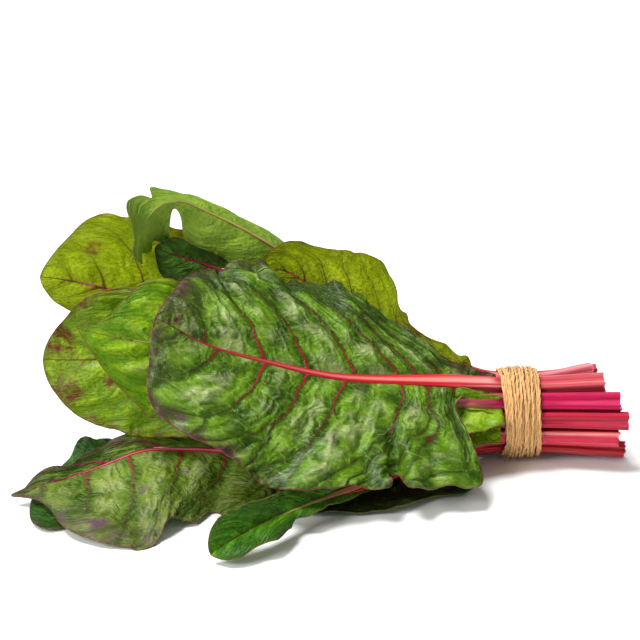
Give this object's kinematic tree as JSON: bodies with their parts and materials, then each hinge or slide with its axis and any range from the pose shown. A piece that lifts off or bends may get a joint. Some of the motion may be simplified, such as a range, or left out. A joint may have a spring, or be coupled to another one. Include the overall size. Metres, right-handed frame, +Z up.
{
  "type": "swiss chard bunch",
  "caption": "Bunch of red-stalked chard leaves lying on its side, the broad crinkled blades fanned out and the stalks bound together with wound twine.",
  "frame": {"origin": "middle of the underside of the bounding box, on the surface that the bunch lies on", "axes": "+X along the bunch towards the cut stalk ends, +Z up from the surface, -Y the side on which the large front leaf lies"},
  "size_m": [0.3972, 0.2549, 0.1758],
  "materials": {
    "stalk_front": "moist red leaf stalk, semi-gloss",
    "blade_front": "fresh leaf, waxy semi-gloss",
    "stalk_folded_middle": "moist red leaf stalk, semi-gloss",
    "blade_folded_middle": "fresh leaf, waxy semi-gloss",
    "stalk_left_middle": "moist red leaf stalk, semi-gloss",
    "blade_left_middle": "fresh leaf, waxy semi-gloss",
    "stalk_upper_left": "moist red leaf stalk, semi-gloss",
    "blade_upper_left": "fresh leaf, waxy semi-gloss",
    "stalk_inner_dark": "moist red leaf stalk, semi-gloss",
    "blade_inner_dark": "fresh leaf, waxy semi-gloss",
    "stalk_upper_right": "moist red leaf stalk, semi-gloss",
    "blade_upper_right": "fresh leaf, waxy semi-gloss",
    "stalk_arched_top": "moist red leaf stalk, semi-gloss",
    "blade_arched_top": "fresh leaf, waxy semi-gloss",
    "stalk_ground_left": "moist red leaf stalk, semi-gloss",
    "blade_ground_left": "fresh leaf, waxy semi-gloss",
    "stalk_ground_left_under": "moist red leaf stalk, semi-gloss",
    "blade_ground_left_under": "fresh leaf, waxy semi-gloss",
    "stalk_ground_curled": "moist red leaf stalk, semi-gloss",
    "blade_ground_curled": "fresh leaf, waxy semi-gloss",
    "stalk_ground_under": "moist red leaf stalk, semi-gloss",
    "blade_ground_under": "fresh leaf, waxy semi-gloss",
    "stalk_back_lower": "moist red leaf stalk, semi-gloss",
    "blade_back_lower": "fresh leaf, waxy semi-gloss",
    "stalk_back_upper": "moist red leaf stalk, semi-gloss",
    "blade_back_upper": "fresh leaf, waxy semi-gloss",
    "twine": "rough jute twine"
  },
  "bodies": {
    "root": {"stalk_front": "stalk_front", "blade_front": "blade_front", "stalk_folded_middle": "stalk_folded_middle", "blade_folded_middle": "blade_folded_middle", "stalk_left_middle": "stalk_left_middle", "blade_left_middle": "blade_left_middle", "stalk_upper_left": "stalk_upper_left", "blade_upper_left": "blade_upper_left", "stalk_inner_dark": "stalk_inner_dark", "blade_inner_dark": "blade_inner_dark", "stalk_upper_right": "stalk_upper_right", "blade_upper_right": "blade_upper_right", "stalk_arched_top": "stalk_arched_top", "blade_arched_top": "blade_arched_top", "stalk_ground_left": "stalk_ground_left", "blade_ground_left": "blade_ground_left", "stalk_ground_left_under": "stalk_ground_left_under", "blade_ground_left_under": "blade_ground_left_under", "stalk_ground_curled": "stalk_ground_curled", "blade_ground_curled": "blade_ground_curled", "stalk_ground_under": "stalk_ground_under", "blade_ground_under": "blade_ground_under", "stalk_back_lower": "stalk_back_lower", "blade_back_lower": "blade_back_lower", "stalk_back_upper": "stalk_back_upper", "blade_back_upper": "blade_back_upper", "twine_tie": "twine"}
  },
  "joints": []
}
